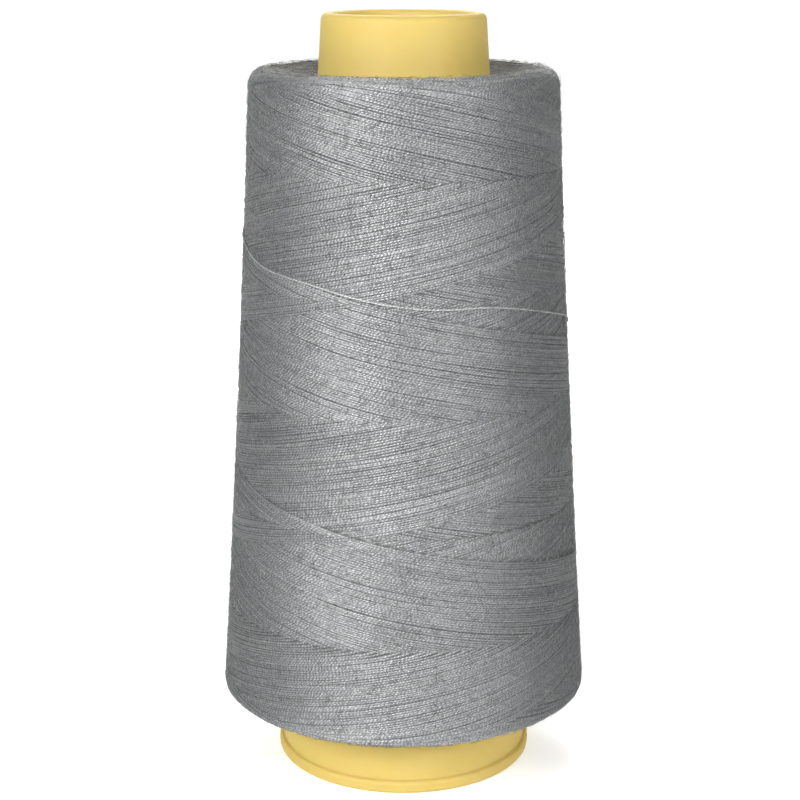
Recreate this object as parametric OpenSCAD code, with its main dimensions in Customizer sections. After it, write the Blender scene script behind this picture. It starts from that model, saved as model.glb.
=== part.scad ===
// Thread cone: a cross-wound package of sewing thread on a tapered plastic cone.
// Millimetres. The cone stands on its foot at z = 0, and +Z is its axis.
// Azimuths are in degrees from -Y, which is the front, towards +X.

/* [Cone] */
// Height of the cone from foot to nose
cone_h = 170; // [130:1:230]
// Half angle of the taper, in degrees
cone_taper = 3.5; // [2:0.25:5]
// Outside radius at the top of the nose, before its edge is rounded
nose_r = 18; // [16.5:0.5:24]
// Thickness of the shell
cone_wall = 1.6; // [1:0.1:2.5]
// Radius of the bore through the nose, which takes the spindle
nose_bore_r = 14.5; // [8:0.5:15.5]
// Depth of the bore's straight wall below the nose's rounded edge
nose_bore_depth = 10; // [5:1:20]
// Radius of the rounding on both edges of the nose
nose_round = 1.6; // [0.4:0.1:1.7]
// Height of the rim around the foot
foot_h = 3.4; // [2.8:0.1:8]
// How far the foot's rim stands out from the shell
foot_proud = 1.2; // [0.8:0.1:3]
// Width of the flat ring that the cone stands on
foot_flat_w = 1.4; // [0.8:0.1:3]
// Radius of the rounding on the outside edges of the rim
foot_round = 1.2; // [0.3:0.1:1.3]
// Radius of the fillet where the rim meets the shell
foot_fillet = 0.4; // [0.1:0.1:0.7]

/* [Wound package] */
// Height of the package's lower outside edge above the foot
package_low = 17.4; // [8:0.1:40]
// Length of bare nose above the package's shoulder
bare_nose = 11.7; // [6:0.1:40]
// Depth of thread over the cone at the lower edge
build_low = 14.5; // [6:0.1:30]
// Depth of thread over the cone at the shoulder
build_high = 14.9; // [8:0.1:30]
// How far the side is drawn in, half way up
side_hollow = 0.45; // [0:0.05:2]
// Radius of the rounding at the shoulder
shoulder_round = 3.5; // [1:0.1:5]
// Radius of the rounding at the lower edge
low_round = 1; // [0.5:0.1:3]
// How far the upper end face sinks from the shoulder to the nose
nose_dish = 2.5; // [0:0.1:6]
// How far the lower end face drops from its outside edge to the cone
low_dip = 3; // [0:0.1:6]
// Clearance between the cone and the first turns laid on it
seat_gap = 0.05; // [0.02:0.01:0.2]

/* [Outer turns] */
// Diameter of the thread
thread_d = 0.4; // [0.3:0.05:0.8]
// Clearance between the strokes that cross
layer_gap = 0.5; // [0.45:0.05:1]
// Number of double strokes of the traverse, each one up and one down
double_strokes = 4; // [2:1:4]
// Number of turns in a double stroke, before a part of one is taken off to set the next aside
stroke_pair_turns = 6; // [2:1:6]
// Height at which the thread's end leaves the last stroke
tail_z = 113.5; // [90:0.5:135]
// Azimuth at which the thread's end leaves the last stroke, in degrees
tail_az = -10; // [-180:5:180]
// Angle round the axis that the thread's end lies across, in degrees
tail_angle = 120; // [30:15:150]
// How far the thread's end drops along its way
tail_drop = 18; // [10:1:20]

/* [Hidden] */

$fn = 96;
round_steps = 6; // steps in a quarter round
side_steps = 8; // steps up the hollow side
ring_sides = 6; // sides of the thread
loop_rings = 24; // rings in one turn of the thread
climb_rings = 6; // rings over which the thread climbs a layer
turn_back_rings = 6; // rings on each side of a reversal over which the thread turns back

// Cone
function cone_r(z) = nose_r + (cone_h - z) * tan(cone_taper);
lip_round = min(nose_round, (nose_r - nose_bore_r) / 2);
bore_low_z = cone_h - lip_round - nose_bore_depth;
bore_flare = (cone_r(bore_low_z) - cone_wall - nose_bore_r) / (1 - tan(cone_taper));
foot_r = cone_r(foot_h) + foot_proud;
foot_flat_r = foot_r - foot_round;
rim_round = min(foot_round, foot_proud - foot_fillet);
rim_z = foot_h - foot_fillet;

// Wound package: its outside is where the outer turns reach
package_high = cone_h - bare_nose;
low_r = cone_r(package_low) + build_low;
high_r = cone_r(package_high) + build_high;

// Outer turns: two layers of thread over the inner windings, with room for the flats between rings
flat_rise = 1 / cos(180 / loop_rings);
layer_step = thread_d + layer_gap;
turns_build = layer_step + thread_d + seat_gap;
inner_low_r = low_r - turns_build;
inner_high_r = high_r - turns_build;
stroke_low = package_low + low_round + thread_d;
stroke_high = package_high - shoulder_round;
stroke_rings = round(loop_rings * (stroke_pair_turns - 1 / double_strokes) / 2);
stroke_rise = (stroke_high - stroke_low) / (stroke_rings - turn_back_rings);
last_stroke_rings = round((stroke_high - tail_z) / stroke_rise + turn_back_rings / 2);
tail_rings = round(tail_angle * loop_rings / 360);
tail_start = (2 * double_strokes - 1) * stroke_rings + last_stroke_rings;
first_az = tail_az - 360 / loop_rings * tail_start;

function polar(r, a) = [r * cos(a), r * sin(a)];
function arc(c, r, a0, a1) = [for (k = [0:round_steps]) c + polar(r, a0 + (a1 - a0) * k / round_steps)];
function mix(a, b, t) = a + (b - a) * t;
function clamp(x) = max(0, min(1, x));
function unit(v) = v / norm(v);

// Radius of the inner windings at a height
function side_r(z) =
    let (t = (z - package_low) / (package_high - package_low))
    mix(inner_low_r, inner_high_r, t) - side_hollow * 4 * t * (1 - t);

// Layer of the outer turns at ring i: 0 on a stroke up, 1 on a stroke down
function ring_layer(i) =
    let (s = round(i / stroke_rings), t = clamp(0.5 + (i - s * stroke_rings) / climb_rings))
    s == 0 ? 0 : s % 2 == 1 ? t : 1 - t;

// How far the thread has moved along the axis, k rings from a reversal
function stroke_move(k) =
    stroke_rise * (k < turn_back_rings ? k * k / turn_back_rings : 2 * k - turn_back_rings) / 2;

// Height of the thread at ring i
function ring_z(i) =
    let (s = round(i / stroke_rings), v = (i - tail_start) / tail_rings)
    i > tail_start ? stroke_high - stroke_move(last_stroke_rings) - tail_drop * v * v
    : s % 2 == 1 ? stroke_high - stroke_move(abs(i - s * stroke_rings))
    : stroke_low + stroke_move(abs(i - s * stroke_rings));

function at_azimuth(az, r, z) = [r * sin(az), -r * cos(az), z];
function ring_az(i) = first_az + 360 / loop_rings * i;
function ring_r(i) =
    side_r(ring_z(i)) * flat_rise + seat_gap + thread_d / 2 + ring_layer(i) * layer_step;
function ring_point(i) = at_azimuth(ring_az(i), ring_r(i), ring_z(i));

// The thread's route, from where it leaves the inner windings to its loose end
inner_end = at_azimuth(first_az, side_r(stroke_low) + seat_gap, stroke_low);
route = concat([inner_end], [for (i = [0:tail_start + tail_rings]) ring_point(i)]);

// Least gap between turns, on the points that lie one above another at each azimuth and half way on
stroke_slope = atan(stroke_rise * loop_rings / (2 * PI * low_r));
half_way = [for (i = [1:len(route) - 2]) (route[i] + route[i + 1]) / 2];
function least(points) = min([
    for (i = [0:loop_rings - 1])
        for (a = [i:loop_rings:len(points) - 1])
            for (b = [a + loop_rings:loop_rings:len(points) - 1])
                norm(points[a] - points[b])
]);
least_gap = min(least([for (i = [1:len(route) - 1]) route[i]]), least(half_way)) * cos(stroke_slope)
    - thread_d;

// One unbroken tube of triangles along a route that runs round the Z axis
module thread_tube(points) {
    n = len(points);
    m = ring_sides;
    corners = [
        for (i = [0:n - 1])
            let (
                p = points[i],
                last = i == n - 1 ? p - points[i - 1] : points[i + 1] - p,
                into = i == 0 ? last : p - points[i - 1],
                ahead = unit(into) + unit(last),
                along = i == 0 ? points[2] - points[1] : last,
                across = unit(cross([p.x, p.y, 0], along)),
                outward = cross(ahead, across) * 2 / (ahead * ahead)
            )
            for (k = [0:m - 1])
                let (c = polar(thread_d / 2, 360 * k / m))
                p + c.x * outward + c.y * across
    ];
    sides = [
        for (i = [0:n - 2])
            for (k = [0:m - 1])
                let (a = i * m + k, b = i * m + (k + 1) % m)
                for (f = [[a, b, a + m], [b, b + m, a + m]]) f
    ];
    far = (n - 1) * m;
    ends = [for (k = [1:m - 2]) for (f = [[0, k + 1, k], [far, far + k, far + k + 1]]) f];
    polyhedron(points = corners, faces = concat(sides, ends));
}

// Moulded cone: a thin tapered shell with a rimmed foot and a thick rounded nose
module cone() {
    color("#E6CB7C")
    rotate_extrude()
    polygon(concat(
        [[foot_flat_r - foot_flat_w, 0]],
        arc([foot_flat_r, foot_round], foot_round, -90, 0),
        arc([foot_r - rim_round, rim_z - rim_round], rim_round, 0, 90),
        arc([cone_r(foot_h) + foot_fillet, foot_h], foot_fillet, 270, 180),
        arc([nose_r - lip_round, cone_h - lip_round], lip_round, cone_taper, 90),
        arc([nose_bore_r + lip_round, cone_h - lip_round], lip_round, 90, 180),
        [[nose_bore_r, bore_low_z]],
        [[nose_bore_r + bore_flare, bore_low_z - bore_flare]],
        [[cone_r(foot_h) - cone_wall, foot_h]]
    ));
}

// Body of the package: every turn but the outermost, wound hard on to the cone
module inner_windings() {
    low_corner = [side_r(package_low) - low_round, package_low + low_round];
    high_corner = [side_r(package_high) - shoulder_round, package_high - shoulder_round];
    low_face_z = package_low - low_dip;
    high_face_z = package_high - nose_dish;
    color("#8C8E92")
    rotate_extrude()
    polygon(concat(
        [[cone_r(low_face_z) + seat_gap, low_face_z]],
        arc(low_corner, low_round, -90, 0),
        [
            for (k = [1:side_steps - 1])
                let (z = mix(low_corner.y, high_corner.y, k / side_steps))
                [side_r(z), z]
        ],
        arc(high_corner, shoulder_round, 0, 90),
        [[cone_r(high_face_z) + seat_gap, high_face_z]]
    ));
}

// Outermost turns: one thread that goes up and down the package, and its loose end
module outer_turns() {
    echo(least_gap_between_turns = least_gap);
    color("#A4A6AA")
    thread_tube(route);
}

cone();
inner_windings();
outer_turns();
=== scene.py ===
import math

import bpy
import numpy as np
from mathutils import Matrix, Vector


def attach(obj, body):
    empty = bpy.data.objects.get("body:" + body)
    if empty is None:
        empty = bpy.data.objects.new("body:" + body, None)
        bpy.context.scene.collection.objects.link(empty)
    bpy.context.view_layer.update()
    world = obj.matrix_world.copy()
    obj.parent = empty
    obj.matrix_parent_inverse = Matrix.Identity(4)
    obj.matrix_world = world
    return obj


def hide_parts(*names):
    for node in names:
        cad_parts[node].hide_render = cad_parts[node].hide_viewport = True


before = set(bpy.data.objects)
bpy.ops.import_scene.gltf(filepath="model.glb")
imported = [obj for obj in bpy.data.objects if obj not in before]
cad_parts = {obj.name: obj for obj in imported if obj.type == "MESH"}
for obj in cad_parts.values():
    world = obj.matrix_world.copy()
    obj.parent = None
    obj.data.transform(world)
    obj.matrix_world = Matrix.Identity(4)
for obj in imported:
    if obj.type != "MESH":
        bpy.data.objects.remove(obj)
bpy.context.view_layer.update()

# ---------------------------------------------------------------------------------------------
# Camera: a short telephoto lens a little above the package's shoulder, looking down on its
# front. The frame is square.
# ---------------------------------------------------------------------------------------------
mm = 0.001
camera_distance = 404.6 * mm
camera_height = 187.8 * mm
camera_tilt = math.radians(14.45)
camera_turn = math.radians(0.12)
sensor_width = 36
lens_pixels = 1836
frame_pixels = 800

scene = bpy.context.scene
camera_data = bpy.data.cameras.new("camera")
camera_data.sensor_width = sensor_width
camera_data.lens = lens_pixels / frame_pixels * sensor_width
camera = bpy.data.objects.new("camera", camera_data)
camera.location = (0, -camera_distance, camera_height)
camera.rotation_euler = (math.pi / 2 - camera_tilt, 0, camera_turn)
scene.collection.objects.link(camera)
scene.camera = camera


# ---------------------------------------------------------------------------------------------
# Cone: one thin injection moulding in polypropylene, tapered, with a rounded nose and a rim
# round its foot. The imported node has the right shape, so it stays and only gets its finish.
# ---------------------------------------------------------------------------------------------
def srgb(hex_colour):
    """A colour written as RRGGBB, as the linear colour that a shader takes."""
    parts = [int(hex_colour[k:k + 2], 16) / 255 for k in (0, 2, 4)]
    return tuple(c / 12.92 if c < 0.04045 else ((c + 0.055) / 1.055) ** 2.4 for c in parts) + (1,)


def add_node(material, kind, inputs={}, **settings):
    """Adds a node with its settings. An input is a value, or the output of another node."""
    node = material.node_tree.nodes.new(kind)
    for name, value in settings.items():
        setattr(node, name, value)
    for name, value in inputs.items():
        if isinstance(value, bpy.types.NodeSocket):
            material.node_tree.links.new(value, node.inputs[name])
        else:
            node.inputs[name].default_value = value
    return node


def new_material(name):
    """An empty material, with its Principled shader joined to the output."""
    material = bpy.data.materials.new(name)
    material.use_nodes = True
    material.node_tree.nodes.clear()
    shader = add_node(material, "ShaderNodeBsdfPrincipled")
    add_node(material, "ShaderNodeOutputMaterial", {"Surface": shader.outputs[0]})
    return material, shader


# Moulded polypropylene, dyed yellow: a matt, slightly waxy skin. Light goes a little way in, so
# edges and shaded sides glow warm, and the dye is faintly cloudy. The mould's grain is about
# 0.1 mm and is drawn five times as coarse, because it would be too fine to show.
dye_cloud = 9 * mm
grain_size = 0.5 * mm
grain_depth = 0.02 * mm
light_reach = 2.0 * mm

cone_plastic, shader = new_material("moulded_polypropylene")
place = add_node(cone_plastic, "ShaderNodeTexCoord").outputs["Object"]
cloudy = add_node(cone_plastic, "ShaderNodeTexNoise", {
    "Vector": place, "Scale": 1 / dye_cloud, "Detail": 3.0})
tint = add_node(cone_plastic, "ShaderNodeMix", {
    "Factor": cloudy.outputs["Fac"], 6: srgb("DBC067"), 7: srgb("E3CA79")}, data_type="RGBA")
skin = add_node(cone_plastic, "ShaderNodeTexNoise", {
    "Vector": place, "Scale": 1 / grain_size, "Detail": 2.0})
grain = add_node(cone_plastic, "ShaderNodeBump", {
    "Height": skin.outputs["Fac"], "Distance": grain_depth, "Strength": 0.5})
cone_plastic.node_tree.links.new(tint.outputs[2], shader.inputs["Base Color"])
cone_plastic.node_tree.links.new(grain.outputs[0], shader.inputs["Normal"])
shader.inputs["Roughness"].default_value = 0.6
shader.inputs["Specular IOR Level"].default_value = 0.12
shader.inputs["Subsurface Weight"].default_value = 0.45
shader.inputs["Subsurface Radius"].default_value = (1.0, 0.6, 0.25)
shader.inputs["Subsurface Scale"].default_value = light_reach

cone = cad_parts["cone"]
cone.data.materials.clear()
cone.data.materials.append(cone_plastic)

# ---------------------------------------------------------------------------------------------
# Package: mid grey spun polyester thread, wound straight on to the cone. This is all of it but
# the outermost turns, packed so hard by the winder that it is one firm body.
# ---------------------------------------------------------------------------------------------
package_low = 16.9 * mm
package_high = 158.3 * mm
package_low_r = 41.86 * mm
package_high_r = 33.6 * mm
side_hollow = 0.45 * mm
shoulder_round = 3.7 * mm
low_round = 1.2 * mm
nose_dish = 2.5 * mm
low_dip = 3 * mm
face_slope = 0.225
seat_gap = 0.05 * mm
body_depth = 0.6 * mm
body_sides = 128
side_rings = 24
cone_height = 170 * mm
nose_radius = 18 * mm
cone_taper = math.radians(3.5)


def cone_radius(height):
    """Outside radius of the cone's shell."""
    return nose_radius + (cone_height - height) * math.tan(cone_taper)


def on_package(run, depth):
    """Radius, height and outward lean on the package's surface. run is a height on the side, which
    goes on over both rounded edges and the end faces as a length along the surface."""
    side = np.clip(run, package_low + low_round, package_high - shoulder_round)
    share = (side - package_low) / (package_high - package_low)
    radius = package_low_r + (package_high_r - package_low_r) * share - side_hollow * 4 * share * (1 - share)
    over = run - side
    bend = np.where(over > 0, shoulder_round, low_round)
    lean = np.clip(over / bend, -math.pi / 2, math.pi / 2)
    on_face = np.abs(over) - bend * np.abs(lean)
    radius = radius - bend * (1 - np.cos(lean)) - depth * np.cos(lean) - on_face
    height = side + bend * np.sin(lean) - depth * np.sin(lean) - on_face * face_slope
    return radius, height, lean


def polyester(name, dark, middle, light):
    """Spun polyester: two plies of short fibres, twisted together. It looks matt, with a broad soft
    lustre across the thread, and flecked, lighter and darker at random from fibre to fibre and along
    the thread. Along the ply its colour is lighter on the crests and darker in the grooves: painted
    shade of the twist. Deep between strands its colour is darkened, painted shade for the little
    light that comes there, and it is rougher there, so dull; seen along its surface it is dull,
    because the fuzz is in the way. The real flecks are under 0.1 mm. They are drawn coarser,
    because they would be too fine to show. The IOR is that of polyester."""
    plies = 2
    twist_pitch = 1.6 * mm
    uneven_twist = 3 * mm
    uneven_dye = 40 * mm
    fleck_size = 0.45 * mm
    ply_depth = 0.03 * mm
    fleck_depth = 0.05 * mm
    ply_groove_shade = 0.2
    dye_tone = 0.4
    darkest_tone = 0.3
    lightest_tone = 1.1
    painted_shade_below = 0.9
    least_rough = 0.46
    dull_adds = 0.5

    material, shader = new_material(name)
    uv = add_node(material, "ShaderNodeUVMap", uv_map="along_thread").outputs[0]
    place = add_node(material, "ShaderNodeTexCoord").outputs["Object"]
    part = add_node(material, "ShaderNodeSeparateXYZ", {0: uv})
    uneven = add_node(material, "ShaderNodeTexNoise", {
        "W": part.outputs["X"], "Scale": 1 / uneven_twist, "Detail": 1.0}, noise_dimensions="1D")
    dye = add_node(material, "ShaderNodeTexNoise", {
        "W": part.outputs["X"], "Scale": 1 / uneven_dye, "Detail": 3.0}, noise_dimensions="1D")
    fleck = add_node(material, "ShaderNodeTexNoise", {
        "Vector": place, "Scale": 1 / fleck_size, "Detail": 2.0}).outputs["Fac"]

    around = add_node(material, "ShaderNodeMath", {
        0: part.outputs["Y"], 1: plies, 2: uneven.outputs["Fac"]}, operation="MULTIPLY_ADD")
    twist = add_node(material, "ShaderNodeMath", {
        0: part.outputs["X"], 1: plies / twist_pitch, 2: around.outputs[0]}, operation="MULTIPLY_ADD")
    wave = add_node(material, "ShaderNodeMath", {
        0: twist.outputs[0], 1: 2 * math.pi}, operation="MULTIPLY")
    ply = add_node(material, "ShaderNodeMath", {0: wave.outputs[0]}, operation="SINE").outputs[0]

    # The ply's crests are painted lighter and its grooves darker: painted shade of the twist
    tone = add_node(material, "ShaderNodeMath", {0: ply, 1: ply_groove_shade, 2: fleck}, operation="MULTIPLY_ADD")
    tone = add_node(material, "ShaderNodeMath", {
        0: dye.outputs["Fac"], 1: dye_tone, 2: tone.outputs[0]}, operation="MULTIPLY_ADD")
    tone = add_node(material, "ShaderNodeMapRange", {
        "Value": tone.outputs[0], "From Min": darkest_tone, "From Max": lightest_tone})
    shade = add_node(material, "ShaderNodeValToRGB", {"Fac": tone.outputs[0]})
    shade.color_ramp.elements[0].color = srgb(dark)
    shade.color_ramp.elements[1].color = srgb(light)
    shade.color_ramp.elements.new(0.5).color = srgb(middle)

    # Strands that lie under others are painted darker: painted shade between the strands. They are also made
    # rougher
    covered = add_node(material, "ShaderNodeAttribute", attribute_name="covered").outputs["Fac"]
    lit = add_node(material, "ShaderNodeMath", {
        0: covered, 1: -painted_shade_below, 2: 1.0}, operation="MULTIPLY_ADD")
    shaded = add_node(material, "ShaderNodeVectorMath", {
        0: shade.outputs[0], "Scale": lit.outputs[0]}, operation="SCALE")
    facing = add_node(material, "ShaderNodeLayerWeight", {"Blend": 0.5}).outputs["Facing"]
    dull = add_node(material, "ShaderNodeMath", {0: covered, 1: facing}, operation="MAXIMUM")
    rough = add_node(material, "ShaderNodeMath", {
        0: dull.outputs[0], 1: dull_adds, 2: least_rough}, operation="MULTIPLY_ADD")

    lay = add_node(material, "ShaderNodeBump", {"Height": ply, "Distance": ply_depth, "Strength": 1.0})
    fuzz = add_node(material, "ShaderNodeBump", {
        "Height": fleck, "Distance": fleck_depth, "Strength": 1.0, "Normal": lay.outputs[0]})
    material.node_tree.links.new(shaded.outputs[0], shader.inputs["Base Color"])
    material.node_tree.links.new(rough.outputs[0], shader.inputs["Roughness"])
    material.node_tree.links.new(fuzz.outputs[0], shader.inputs["Normal"])
    shader.inputs["IOR"].default_value = 1.65
    shader.inputs["Specular IOR Level"].default_value = 0.8
    shader.inputs["Anisotropic"].default_value = 0.7
    shader.inputs["Anisotropic Rotation"].default_value = 0.25
    shader.inputs["Sheen Weight"].default_value = 0.1
    shader.inputs["Sheen Roughness"].default_value = 0.5
    return material


def next_ring(radius, height):
    """Extrudes the ring that is selected, and sets the new one to this radius and height."""
    before = ring_at[-1]
    bpy.ops.mesh.extrude_region_move(TRANSFORM_OT_translate={"value": (0, 0, height - before[1])})
    grow = radius / before[0]
    bpy.ops.transform.resize(value=(grow, grow, 1), center_override=(0, 0, height))
    ring_at.append((radius, height))


thread_grey = polyester("spun_polyester_thread", "1B1F29", "4D5158", "94958C")
face_low = package_low - low_dip + body_depth / 2
face_high = package_high - nose_dish - body_depth / 2
face_low_r = cone_radius(face_low) + seat_gap
side_low = package_low + low_round
side_high = package_high - shoulder_round
outside = [on_package(run, body_depth)[:2] for run in np.concatenate([
    side_low - low_round * np.radians([88, 60, 30]),
    np.linspace(side_low, side_high, side_rings),
    side_high + shoulder_round * np.radians([20, 40, 60, 80, 90])])]

bpy.ops.object.select_all(action="DESELECT")
bpy.ops.mesh.primitive_circle_add(vertices=body_sides, radius=face_low_r, location=(0, 0, face_low))
body = bpy.context.active_object
body.name = "package_body"
body.data.name = "package_body"
bpy.ops.object.transform_apply()
bpy.ops.object.mode_set(mode="EDIT")
ring_at = [(face_low_r, face_low)]
for radius, height in outside:
    next_ring(float(radius), float(height))
next_ring(cone_radius(face_high) + seat_gap, face_high)
bpy.ops.mesh.select_all(action="DESELECT")
bpy.ops.mesh.select_non_manifold()
bpy.ops.mesh.bridge_edge_loops()
bpy.ops.mesh.select_all(action="SELECT")
bpy.ops.mesh.normals_make_consistent(inside=False)
bpy.ops.object.mode_set(mode="OBJECT")
bpy.ops.object.shade_smooth_by_angle(angle=math.radians(40))
body.data.materials.append(thread_grey)
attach(body, "root")
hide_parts("inner_windings")

# ---------------------------------------------------------------------------------------------
# Outer turns: the same thread, unbroken. The winder lays it in double strokes, three turns up
# the package and three down, each just beside the last, so the strands cross in a regular way.
# Pressed on those below, the thread lies flattened. Angles along it are in degrees.
# ---------------------------------------------------------------------------------------------
strand_half_width = 0.272 * mm
strand_half_depth = 0.16 * mm
strand_sides = 6
layer_step = 0.2 * mm
settled = 0.5
strands = 98
stroke_turns = 3
turn_back = 67
turn_scatter = 0.5 * mm
valley = 17.7 * mm
peak = 157.8 * mm
newest_azimuth = -13
rings_per_turn = 90
ease_steps = 1081
seam_offsets = [-1.8, -0.7, 0.7, 1.8]
gap_share = 0.3
gap_width = 0.25 * mm
gap_usual = 0.2
gap_most = 0.9
gap_knots = 13
wobble = 0.045 * mm
wobble_knots = 8
unevenly_proud = 0.05 * mm
proud_knots = 9
unevenly_thick = 0.1
thick_knots = 8
swap_over = 1.5
mesh_parts = 5


def smooth_noise(rng, rows, steps, knot_every):
    """Random numbers about 0, of spread 1, that change smoothly along each row."""
    knots = rng.standard_normal((rows, steps // knot_every + 3))
    at = np.arange(steps) / knot_every
    first = at.astype(int)
    part = at - first
    part = part * part * (3 - 2 * part)
    return knots[:, first] * (1 - part) + knots[:, first + 1] * part


def tubes(name, points, outward, half_width, half_depth, sides, material, covered=None):
    """Closed tubes in one mesh, one along each row of points, flattened across its outward
    direction. The UV map gives the length along the thread in metres and the share of the way
    round it. The attribute covered says how far it lies under other strands, from 0 to 1."""
    rows, count = points.shape[:2]
    ahead = np.gradient(points, axis=1)
    ahead /= np.linalg.norm(ahead, axis=-1, keepdims=True)
    across = np.cross(ahead, outward)
    across /= np.linalg.norm(across, axis=-1, keepdims=True)
    up = np.cross(across, ahead)
    angle = (2 * np.pi * np.arange(sides) / sides)[:, None]
    corners = (points[:, :, None] + half_depth[:, :, None, None] * np.cos(angle) * up[:, :, None]
               + half_width[:, :, None, None] * np.sin(angle) * across[:, :, None])

    row_starts = np.arange(rows) * count * sides
    first = row_starts[:, None, None] + (np.arange(count - 1) * sides)[None, :, None]
    side = np.arange(sides)[None, None, :]
    after = (side + 1) % sides
    quads = np.stack([first + side, first + sides + side, first + sides + after, first + after], axis=-1)
    start = row_starts[:, None]
    caps = np.concatenate([start + np.arange(sides), start + count * sides - 1 - np.arange(sides)], axis=1)
    loops = np.concatenate([quads.reshape(-1), caps.reshape(-1)])
    sizes = np.concatenate([np.full(quads.size // 4, 4), np.full(2 * rows, sides)])

    along = np.linalg.norm(np.diff(points, axis=1), axis=-1)
    along = np.concatenate([np.zeros((rows, 1)), np.cumsum(along, axis=1)], axis=1)
    along += np.concatenate([[0], np.cumsum(along[:-1, -1])])[:, None]
    u = np.stack([along[:, :-1], along[:, 1:], along[:, 1:], along[:, :-1]], axis=-1)
    u = np.repeat(u[:, :, None], sides, axis=2)
    v = np.broadcast_to(np.stack([side, side, side + 1, side + 1], axis=-1) / sides, u.shape)
    uv = np.concatenate([np.stack([u, v], axis=-1).reshape(-1, 2), np.zeros((caps.size, 2))])

    mesh = bpy.data.meshes.new(name)
    mesh.vertices.add(rows * count * sides)
    mesh.vertices.foreach_set("co", corners.reshape(-1))
    mesh.loops.add(len(loops))
    mesh.loops.foreach_set("vertex_index", loops)
    mesh.polygons.add(len(sizes))
    mesh.polygons.foreach_set("loop_start", np.concatenate([[0], np.cumsum(sizes)[:-1]]))
    mesh.polygons.foreach_set("use_smooth", np.ones(len(sizes), bool))
    mesh.uv_layers.new(name="along_thread").data.foreach_set("uv", uv.reshape(-1))
    if covered is not None:
        share = mesh.attributes.new("covered", "FLOAT", "POINT")
        share.data.foreach_set("value", np.repeat(covered.reshape(-1), sides))
    mesh.materials.append(material)
    mesh.update(calc_edges=True)
    made = bpy.data.objects.new(name, mesh)
    scene.collection.objects.link(made)
    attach(made, "root")
    return made


def in_space(radius, azimuth, height, lean):
    """Points, and the directions that lead outwards there. Azimuths are in radians from the front."""
    points = np.stack([radius * np.sin(azimuth), -radius * np.cos(azimuth), height], axis=-1)
    outward = np.stack([
        np.cos(lean) * np.sin(azimuth), -np.cos(lean) * np.cos(azimuth), np.sin(lean)], axis=-1)
    return points, outward


# A stroke eases in and out of each reversal. A double stroke goes past six whole turns by one
# strand, so that the next lies beside it.
strand_gain = 360 / strands
stroke = 360 * stroke_turns + strand_gain / 2
eased_at = np.linspace(0, stroke, ease_steps)
ease = np.clip(np.minimum(eased_at, stroke - eased_at) / turn_back, 0, 1)
climb = np.concatenate([[0], np.cumsum((ease[1:] + ease[:-1]) / 2)])
climb /= climb[-1]

# Rings stand closer together at the seams, where a strand goes over or under the others
even_rings = np.linspace(0, stroke, stroke_turns * rings_per_turn + 1)[:-1]
seams = np.arange(0, stroke, 180)
seam_rings = (seams[:, None] + np.array(seam_offsets)).ravel()
seam_rings = seam_rings[(seam_rings > 0) & (seam_rings < stroke)]
phase = np.unique(np.concatenate([even_rings, seam_rings]))
steps = len(phase)

rng = np.random.default_rng(7)
strokes = 2 * strands
index = np.arange(strokes) // 2
falling = (np.arange(strokes) % 2 == 1)[:, None]


def set_aside(rng):
    """How far the strands of one family lie from their even places, at each phase of a stroke.
    Every few strands a gap opens for part of the way, and the strands between close up."""
    parts = rng.random((strands, 1)) < gap_share
    open_part = np.clip(gap_usual + smooth_noise(rng, strands, steps, gap_knots), 0, gap_most)
    gaps = gap_width * parts * open_part
    moved = np.cumsum(gaps - gaps.mean(axis=0), axis=0)
    return moved + wobble * smooth_noise(rng, strands, steps, wobble_knots)


aside = np.empty((strokes, steps))
aside[0::2] = set_aside(rng)
aside[1::2] = set_aside(rng)[:, ::-1]
away_from_turn = np.interp(phase, eased_at, ease)
turn_at = rng.uniform(-1.0, 1.0, strokes + 1) * turn_scatter
early = (phase < stroke / 2)[None, :]
aside = aside * away_from_turn + (1 - away_from_turn) * np.where(early, turn_at[:-1, None], turn_at[1:, None])

up_phase = np.where(falling, stroke - phase, phase)
run = valley + (peak - valley) * np.interp(up_phase, eased_at, climb) + aside
turned = stroke * np.arange(strokes)[:, None] + phase
azimuth = np.radians(newest_azimuth + turned - turned[-1, -1])

# At each ring the stroke that crosses there is older or newer, which says what lies on top
crossing = index[:, None] + np.where(falling, 0, -1) + 2 * phase / strand_gain
crossing = strands - 1 - np.mod(strands - 1 - crossing, strands)
own_age = (strands - 1 - index)[:, None] / strands
other_age = (strands - 1 - crossing) / strands
later = index[:, None] - crossing + np.where(falling, 0.5, -0.5)
on_top = np.clip(later / swap_over + 0.5, 0, 1)
on_top = on_top * on_top * (3 - 2 * on_top)
proud = unevenly_proud * smooth_noise(rng, strokes, steps, proud_knots)
depth = strand_half_depth + layer_step * (settled * (own_age + other_age) - on_top) - proud

radius, height, lean = on_package(run, depth)
points, outward = in_space(radius, azimuth, height, lean)
thick = 1 + unevenly_thick * smooth_noise(rng, strokes, steps, thick_knots)

# The thread's end leaves the last stroke part of the way down, and lies across the front on top.
# Its way is given as azimuths in degrees and heights in millimetres.
end_half_width = 0.2 * mm
end_depth = -0.33 * mm
end_sides = 8
end_step = 1.5
end_rise = 12
end_smooth = 9
end_knots = 2
end_way = np.array([
    (-94, 123.9), (-82, 122.2), (-71, 120.4), (-62, 118.6), (-52.8, 117.4), (-43.5, 116.9), (-34.5, 116.2),
    (-26.6, 115.3), (-19.4, 114.3), (-10.9, 113.3), (-1.1, 112.4), (7, 111.8), (15.2, 111.6), (25.8, 111.6),
    (32.3, 111.3), (39.9, 110.5), (50.9, 109), (68.1, 106.4), (75.1, 105.3), (92, 101.6), (110, 97)])

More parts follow.
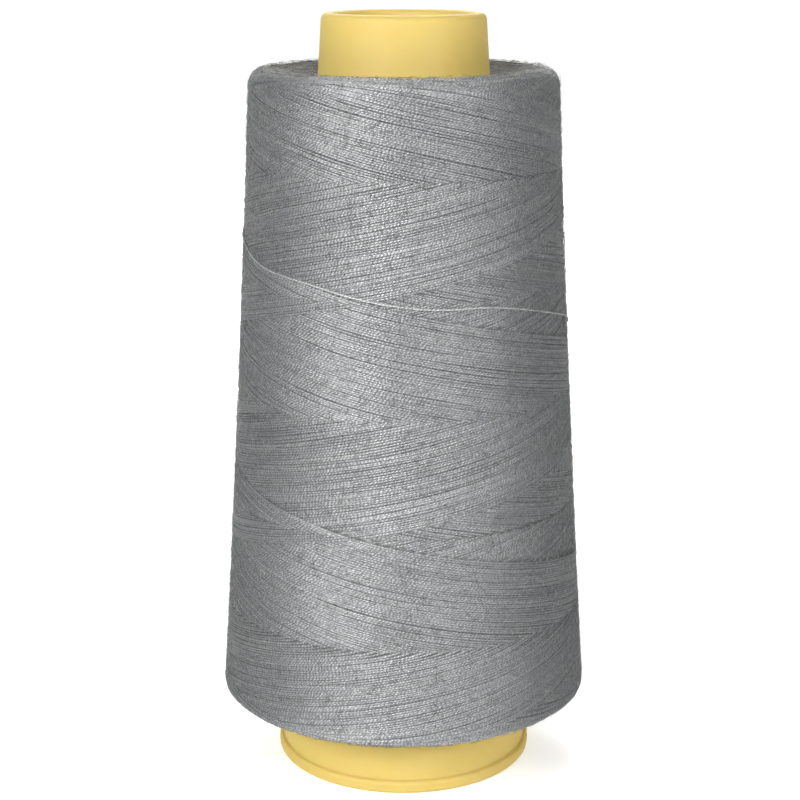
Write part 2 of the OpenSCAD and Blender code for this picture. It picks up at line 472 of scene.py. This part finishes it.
end_azimuth = np.arange(end_way[0, 0], end_way[-1, 0], end_step)
end_heights = np.interp(end_azimuth, end_way[:, 0], end_way[:, 1] * mm)
window = np.hanning(end_smooth) / np.hanning(end_smooth).sum()
end_run = np.convolve(np.pad(end_heights, end_smooth // 2, mode="edge"), window, mode="valid")
end_risen = np.clip((end_azimuth - end_way[0, 0]) / end_rise, 0, 1)
last_turns = round((end_way[0, 0] - np.degrees(azimuth[-1, -1])) / 360 - 0.5)
leaves_at = np.radians(end_way[0, 0] + 360 * last_turns)
kept = strokes * steps - int(np.sum(azimuth[-1] >= leaves_at - math.radians(1)))
end_depths = depth.reshape(-1)[kept - 1] * (1 - end_risen) + end_depth * end_risen
end_radius, end_height, end_lean = on_package(end_run, end_depths)
end_points = in_space(end_radius, np.radians(end_azimuth), end_height, end_lean)

points = points.reshape(1, -1, 3)
outward = outward.reshape(1, -1, 3)
half_width = strand_half_width * thick.reshape(1, -1)
half_depth = strand_half_depth * thick.reshape(1, -1)
covered = (1 - on_top).reshape(1, -1)
for k in range(mesh_parts):
    cut = [round(part * strokes / mesh_parts) * steps for part in (k, k + 1)]
    some = slice(cut[0], cut[1] + 1 if k < mesh_parts - 1 else kept)
    wound = tubes(f"wound_thread_{k + 1}", points[:, some], outward[:, some], half_width[:, some],
                  half_depth[:, some], strand_sides, thread_grey, covered[:, some])
    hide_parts("outer_turns")

# The same thread where it isn't pressed flat, in a lighter copy of its material: painted light, because its
# fibres stand open and it lies on top where no neighbours shade it
lit_loose_thread = polyester("spun_polyester_loose_end_painted_lit", "4A4E52", "84888A", "BEBEB2")
end_half = end_half_width * (1 + unevenly_thick * smooth_noise(rng, 1, len(end_azimuth), end_knots))
thread_end = tubes(
    "thread_end", end_points[0][None], end_points[1][None], end_half, end_half, end_sides, lit_loose_thread)
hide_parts("outer_turns")

# ---------------------------------------------------------------------------------------------
# End turns: the turn-backs of all the layers below. Each comes up out of the end face, runs a
# little way round and dips back in, row beside row from the cone to the package's edge.
# ---------------------------------------------------------------------------------------------
row_step = 0.43 * mm
arcs_in_row = 15
arc_half_angle = 26
arc_rings = 11
arc_sides = 5
arc_dip = 4.6 * mm
arc_scatter = 8
row_scatter = 0.12 * mm
dip_scatter = 0.1 * mm
past_peak = 0.2 * mm
past_valley = 0.4 * mm


def end_turns(name, first, edge, inner, upwards, rng):
    """Rows of short arcs over one end. first, edge and inner are radius and height where the rows
    start on the rounded edge, where the face begins and where it meets the cone."""
    rows = []
    for a, b in ((first, edge), (edge, inner)):
        count = max(1, round(math.dist(a, b) / row_step))
        rows += [(a[0] + (b[0] - a[0]) * k / count, a[1] + (b[1] - a[1]) * k / count) for k in range(count)]
    spread = np.linspace(-arc_half_angle, arc_half_angle, arc_rings)
    all_rows = np.repeat(np.array(rows), arcs_in_row, axis=0)
    number = len(all_rows)
    apex = np.arange(number) * 360 / arcs_in_row + rng.uniform(0, 360, len(rows)).repeat(arcs_in_row)
    apex = apex + rng.uniform(-arc_scatter, arc_scatter, number)
    radius = all_rows[:, :1] + row_scatter * rng.standard_normal((number, 1)) + 0 * spread
    dip = arc_dip * (spread / turn_back) ** 2 + dip_scatter * rng.uniform(0, 1, (number, 1))
    height = all_rows[:, 1:] - upwards * (strand_half_depth + dip)
    lean = np.full(radius.shape, upwards * math.pi / 2)
    points, outward = in_space(radius, np.radians(apex[:, None] + spread), height, lean)
    half_width = np.full(radius.shape, strand_half_width)
    half_depth = np.full(radius.shape, strand_half_depth)
    made = tubes(name, points, outward, half_width, half_depth, arc_sides, pale_lit_end_thread)
    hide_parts("inner_windings")


# The same thread where it turns back, bent sharply so that its fibres stand open: a paler copy of its
# material, painted light for the fuzz that catches light seen along it
pale_lit_end_thread = polyester("spun_polyester_end_turns_painted_lit", "2D3138", "6B6E73", "B6B6AD")
rng = np.random.default_rng(19)
shoulder = on_package(np.array(peak + past_peak), 0)
top_edge = on_package(np.array(side_high + shoulder_round * math.pi / 2), 0)
low_corner = on_package(np.array(valley - past_valley), 0)
low_edge = on_package(np.array(side_low - low_round * math.pi / 2), 0)
top_inner = package_high - nose_dish
low_inner = package_low - low_dip
end_turns("end_turns_top", shoulder[:2], top_edge[:2],
          (cone_radius(top_inner) + strand_half_width + seat_gap, top_inner), 1, rng)
end_turns("end_turns_low", low_corner[:2], low_edge[:2],
          (cone_radius(low_inner) + strand_half_width + seat_gap, low_inner), -1, rng)

# ---------------------------------------------------------------------------------------------
# Stray fibres: the loose ends and loops of staple fibre that stand off spun thread as a fine
# fuzz. They are drawn about five times as thick as real ones, which would be too fine to show.
# ---------------------------------------------------------------------------------------------
fibre_half_width = 0.037 * mm
fibre_rings = 4
fibre_sides = 3
fibres_in_mesh = 9500
fibre_meshes = 4
fibre_low = package_low - 13 * mm
fibre_high = package_high + 12 * mm
shortest_fibre = 0.8 * mm
longest_fibre = 3.2 * mm
least_stand_off = 0.08 * mm
usual_stand_off = 0.14 * mm
fibre_root = 0.05 * mm
fibre_tone = 2 * mm
heading_spread = 1.1
curl_spread = 0.9
least_return = 0.55
tip_thinner = 0.5

# Polyester staple fibre: fine and slightly glossy. Its colour goes at random from near black to
# light grey from fibre to fibre, painted light and shade: some fibres painted light as if catching
# the light, others painted dark as if in shade, so that the eye sees a soft speckle
loose_fibre, shader = new_material("loose_staple_fibre")
uv = add_node(loose_fibre, "ShaderNodeUVMap", uv_map="along_thread").outputs[0]
fibre_light_and_shade = add_node(loose_fibre, "ShaderNodeTexNoise", {
    "W": add_node(loose_fibre, "ShaderNodeSeparateXYZ", {0: uv}).outputs["X"],
    "Scale": 1 / fibre_tone, "Detail": 0.0}, noise_dimensions="1D")
tone = add_node(loose_fibre, "ShaderNodeMapRange", {
    "Value": fibre_light_and_shade.outputs["Fac"], "From Min": 0.25, "From Max": 0.75})
shade = add_node(loose_fibre, "ShaderNodeValToRGB", {"Fac": tone.outputs[0]})
shade.color_ramp.elements[0].color = srgb("1E2129")
shade.color_ramp.elements[1].color = srgb("ACADA6")
loose_fibre.node_tree.links.new(shade.outputs[0], shader.inputs["Base Color"])
shader.inputs["Roughness"].default_value = 0.5


def stray_fibres(name, rng):
    """Fibres that leave the thread's surface and mostly come back to it."""
    number = fibres_in_mesh
    t = np.linspace(0, 1, fibre_rings)
    length = rng.uniform(shortest_fibre, longest_fibre, (number, 1))
    heading = rng.normal(0, heading_spread, (number, 1)) + rng.normal(0, curl_spread, (number, 1)) * t
    high = rng.exponential(usual_stand_off, (number, 1)) + least_stand_off
    comes_back = rng.uniform(least_return, 1.0, (number, 1))
    run = rng.uniform(fibre_low, fibre_high, (number, 1)) + length * t * np.sin(heading)
    depth = -fibre_root - high * np.sin(math.pi * t * comes_back)
    radius, height, lean = on_package(run, depth)
    azimuth = rng.uniform(0, 2 * math.pi, (number, 1)) + length * t * np.cos(heading) / radius
    points, outward = in_space(radius, azimuth, height, lean)
    half = fibre_half_width * (1 - tip_thinner * np.broadcast_to(t, radius.shape))
    made = tubes(name, points, outward, half, half, fibre_sides, loose_fibre)
    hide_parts("outer_turns")


rng = np.random.default_rng(31)
for k in range(fibre_meshes):
    stray_fibres(f"stray_fibres_{k + 1}", rng)

# ---------------------------------------------------------------------------------------------
# Floor and backdrop: one sheet of pale paper that runs far back, white to the camera. It glows
# less round the foot, where the lamps light it and the object's soft shadow lies.
# ---------------------------------------------------------------------------------------------
floor_size = 60
shadow_ends = 0.8
glow_at_foot = 0.45
glow_far_off = 0.88

bpy.ops.object.select_all(action="DESELECT")
bpy.ops.mesh.primitive_plane_add(size=floor_size)
floor = bpy.context.active_object
floor.name = "floor"

# Matt uncoated paper: an even white without any gloss
floor_paper, shader = new_material("pale_paper")
rays = add_node(floor_paper, "ShaderNodeLightPath")
glossy = add_node(floor_paper, "ShaderNodeMath", {
    0: rays.outputs["Is Glossy Ray"], 1: rays.outputs["Is Transmission Ray"]}, operation="MAXIMUM")
seen = add_node(floor_paper, "ShaderNodeMath", {
    0: rays.outputs["Is Camera Ray"], 1: glossy.outputs[0]}, operation="MAXIMUM")
from_middle = add_node(floor_paper, "ShaderNodeVectorMath", {
    0: add_node(floor_paper, "ShaderNodeTexCoord").outputs["Object"]}, operation="LENGTH")
strength = add_node(floor_paper, "ShaderNodeMapRange", {
    "Value": from_middle.outputs["Value"], "From Min": shadow_ends / 4, "From Max": shadow_ends,
    "To Min": glow_at_foot, "To Max": glow_far_off})
glow = add_node(floor_paper, "ShaderNodeMath", {
    0: seen.outputs[0], 1: strength.outputs[0]}, operation="MULTIPLY")
floor_paper.node_tree.links.new(glow.outputs[0], shader.inputs["Emission Strength"])
shader.inputs["Emission Color"].default_value = (1, 1, 1, 1)
shader.inputs["Base Color"].default_value = srgb("F4F4F4")
shader.inputs["Roughness"].default_value = 0.9
floor.data.materials.append(floor_paper)

# The room is white and dim, so that it only lifts the shade
world = bpy.data.worlds.new("studio")
scene.world = world
world.use_nodes = True
world.node_tree.nodes["Background"].inputs["Color"].default_value = (1, 1, 1, 1)
world.node_tree.nodes["Background"].inputs["Strength"].default_value = 0.2

# ---------------------------------------------------------------------------------------------
# Light: two soft lamps at the front, the stronger one at the left, and one behind. Three
# reflectors at the front light only gloss, and draw the bands of lustre down the thread.
# ---------------------------------------------------------------------------------------------
lamp_distance = 1.1
lamp_width = 0.4
lit_height = 90 * mm


def soft_lamp(name, azimuth, elevation, watts, only_gloss=False):
    """A square area lamp that looks at the middle of the package. Its azimuth is from the front
    towards the right."""
    data = bpy.data.lights.new(name, "AREA")
    data.energy = watts
    data.size = lamp_width
    lamp = bpy.data.objects.new(name, data)
    lamp.visible_diffuse = not only_gloss
    a, e = math.radians(azimuth), math.radians(elevation)
    away = Vector((math.sin(a) * math.cos(e), -math.cos(a) * math.cos(e), math.sin(e)))
    lamp.location = Vector((0, 0, lit_height)) + away * lamp_distance
    lamp.rotation_euler = away.to_track_quat("Z", "Y").to_euler()
    scene.collection.objects.link(lamp)


soft_lamp("front_left_lamp", -37, 25, 8)
soft_lamp("front_right_lamp", 34, 20, 5)
soft_lamp("left_reflector", -41, 25, 30, only_gloss=True)
soft_lamp("middle_reflector", 1, 25, 8, only_gloss=True)
soft_lamp("right_reflector", 38, 20, 15, only_gloss=True)
soft_lamp("back_lamp", 180, 35, 9)
scene.view_settings.view_transform = "Standard"
